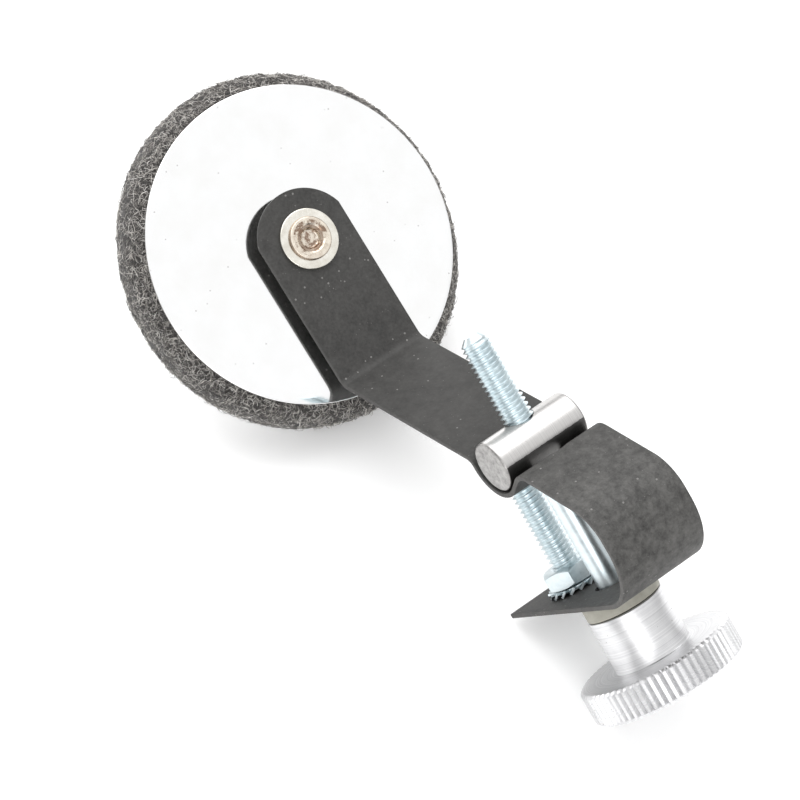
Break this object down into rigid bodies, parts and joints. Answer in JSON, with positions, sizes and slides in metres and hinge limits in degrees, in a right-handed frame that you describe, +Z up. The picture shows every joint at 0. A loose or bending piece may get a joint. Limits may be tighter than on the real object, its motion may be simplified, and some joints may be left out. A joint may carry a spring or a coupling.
{
  "type": "felt polishing wheel",
  "caption": "Felt wheel between two bright metal discs on a bent black spring-steel arm, set by a knurled thumb knob and screw.",
  "frame": {"origin": "bottom centre of the bounding box, on the surface that the part lies on", "axes": "+Z up from that surface, +X from the wheel towards the knob, +Y across the strip"},
  "size_m": [0.1542, 0.07, 0.0549],
  "materials": {
    "black_spring_steel": "matte blackened spring steel",
    "felt": "pressed grey-brown wool felt",
    "bright_disc": "bright plated, near mirror",
    "bright_steel": "bright plated steel",
    "bronze": "plain sintered bronze",
    "rivet_steel": "plated, with dark grease in the recess",
    "zinc_steel": "bluish bright zinc",
    "aluminium": "turned, straight knurled",
    "fibre": "matte beige-grey",
    "turned_steel": "satin turned"
  },
  "bodies": {
    "foot": {"spring_foot": "black_spring_steel", "stop_bolt": "zinc_steel", "star_washer": "zinc_steel", "stop_nut": "zinc_steel", "knob_spacer": "fibre"},
    "knob": {"knob": "aluminium", "adjusting_screw": "zinc_steel"},
    "barrel": {"cross_barrel": "turned_steel"},
    "arm": {"spring_arm": "black_spring_steel", "axle_rivet": "rivet_steel", "axle_washer": "bright_steel", "arm_spacer": "bright_steel", "rear_washer": "bright_steel"},
    "wheel": {"felt_ring": "felt", "front_disc": "bright_disc", "rear_disc": "bright_disc", "wheel_sleeve": "bright_steel", "bearing_bush": "bronze"}
  },
  "joints": [
    {"name": "knob_turn", "type": "hinge", "parent": "foot", "child": "knob", "pos_m": [0.0504, 0, 0.02475], "axis": [-0.8442, 0, 0.536], "range_deg": [-300, 300]},
    {"name": "barrel_travel", "type": "slide", "parent": "foot", "child": "barrel", "axis": [-0.8442, 0, 0.536], "range_m": [-0.00085, 0.00085]},
    {"name": "arm_flex", "type": "hinge", "parent": "foot", "child": "arm", "pos_m": [0.05455, 0, 0.05276], "axis": [0, 1, 0], "range_deg": [-1.85, 1.85]},
    {"name": "wheel_spin", "type": "hinge", "parent": "arm", "child": "wheel", "pos_m": [-0.04177, 0, 0.02771], "axis": [0.4727, 0, 0.8812], "continuous": true}
  ],
  "couplings": [
    {"joint": "arm_flex", "follows": "knob_turn", "ratio": -0.0061509},
    {"joint": "barrel_travel", "follows": "knob_turn", "m_per_rad": -0.00015915}
  ]
}
